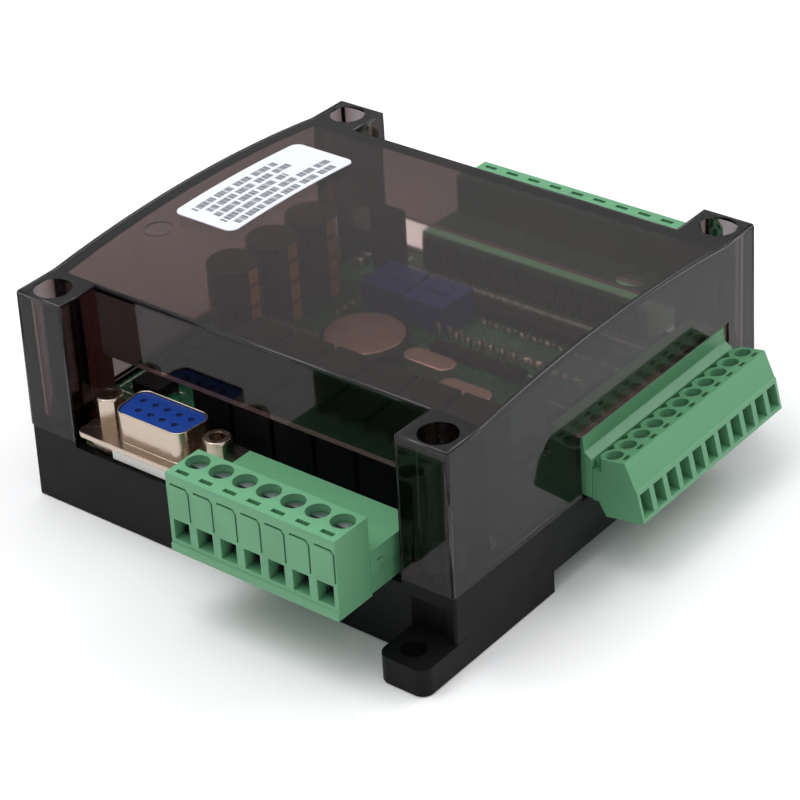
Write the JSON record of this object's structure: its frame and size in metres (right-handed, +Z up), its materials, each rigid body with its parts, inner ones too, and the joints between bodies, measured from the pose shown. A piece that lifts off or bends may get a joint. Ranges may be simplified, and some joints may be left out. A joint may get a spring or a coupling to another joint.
{
  "type": "programmable controller module",
  "caption": "DIN-rail controller module: black base tray, smoky clear cover, circuit board, pluggable screw-terminal blocks, nine-way serial socket and sliding rail clip.",
  "frame": {"origin": "midway between the two diagonal screw ears, on the plane of the underside", "axes": "+X along the side with the serial socket, to the right seen from that side; +Y across the rail towards the rail clip; +Z up, out of the mounting surface"},
  "size_m": [0.1055, 0.1178, 0.0439],
  "materials": {
    "black_plastic": "satin moulded, fine grain",
    "smoky_plastic": "polished, smoke-tinted clear",
    "dark_screw_steel": "zinc plated",
    "plated_steel": "zinc plated",
    "label_film": "satin printed film",
    "board_green": "solder-resist gloss",
    "terminal_green": "satin moulded",
    "tinned_brass": "tin plated",
    "nickel_shell": "nickel plated",
    "serial_blue": "moulded",
    "serial_white": "moulded",
    "gold_contact": "gold plated",
    "component_black": "moulded epoxy",
    "can_aluminium": "drawn",
    "sleeve_black": "shrink sleeve",
    "cell_steel": "bright",
    "trimmer_blue": "moulded",
    "ferrite": "ground ferrite",
    "light_lens": "clear tinted",
    "chip_ceramic": "ceramic"
  },
  "bodies": {
    "housing": {"base_shell": "black_plastic", "board_screws": "plated_steel", "capacitor_cans": "can_aluminium", "capacitor_sleeves": "sleeve_black", "chip_leads": "tinned_brass", "chip_resistors": "chip_ceramic", "circuit_board": "board_green", "coin_cell": "cell_steel", "coin_cell_holder": "component_black", "cover_screws": "dark_screw_steel", "crystals": "cell_steel", "inductor": "ferrite", "input_header": "terminal_green", "input_header_pins": "tinned_brass", "interface_chips": "component_black", "link_header": "component_black", "link_header_pins": "tinned_brass", "optocouplers": "component_black", "output_header": "terminal_green", "output_header_pins": "tinned_brass", "power_diodes": "component_black", "processor": "component_black", "rating_label": "label_film", "regulator": "component_black", "relays": "component_black", "serial_base": "serial_white", "serial_board_locks": "nickel_shell", "serial_contacts": "gold_contact", "serial_insert": "serial_blue", "serial_jackscrews": "nickel_shell", "serial_shell": "nickel_shell", "signal_header": "terminal_green", "signal_header_pins": "tinned_brass", "status_lights": "light_lens", "top_cover": "smoky_plastic", "trimmer_bodies": "trimmer_blue"},
    "output_plug": {"output_plug_housing": "terminal_green", "output_plug_clamps": "plated_steel", "output_plug_screws": "plated_steel", "output_plug_contacts": "tinned_brass"},
    "input_plug": {"input_plug_housing": "terminal_green", "input_plug_clamps": "plated_steel", "input_plug_screws": "plated_steel", "input_plug_contacts": "tinned_brass"},
    "signal_plug": {"signal_plug_housing": "terminal_green", "signal_plug_clamps": "plated_steel", "signal_plug_screws": "plated_steel", "signal_plug_contacts": "tinned_brass"},
    "rail_clip": {"rail_clip": "black_plastic"},
    "trimmer_rotor_1": {"trimmer_rotor_1": "trimmer_blue"},
    "trimmer_rotor_2": {"trimmer_rotor_2": "trimmer_blue"}
  },
  "joints": [
    {"name": "output_plug_pull", "type": "slide", "parent": "housing", "child": "output_plug", "axis": [0, -1, 0], "range_m": [0, 0.014]},
    {"name": "input_plug_pull", "type": "slide", "parent": "housing", "child": "input_plug", "axis": [0, 1, 0], "range_m": [0, 0.014]},
    {"name": "signal_plug_pull", "type": "slide", "parent": "housing", "child": "signal_plug", "axis": [1, 0, 0], "range_m": [0, 0.012]},
    {"name": "rail_clip_slide", "type": "slide", "parent": "housing", "child": "rail_clip", "axis": [0, 1, 0], "range_m": [0, 0.003], "stiffness_N_per_m": 800},
    {"name": "trimmer_1_turn", "type": "hinge", "parent": "housing", "child": "trimmer_rotor_1", "pos_m": [-0.0186, 0.024, 0.0189], "axis": [0, 0, 1], "range_deg": [-130, 130]},
    {"name": "trimmer_2_turn", "type": "hinge", "parent": "housing", "child": "trimmer_rotor_2", "pos_m": [-0.0084, 0.024, 0.0189], "axis": [0, 0, 1], "range_deg": [-130, 130]}
  ]
}
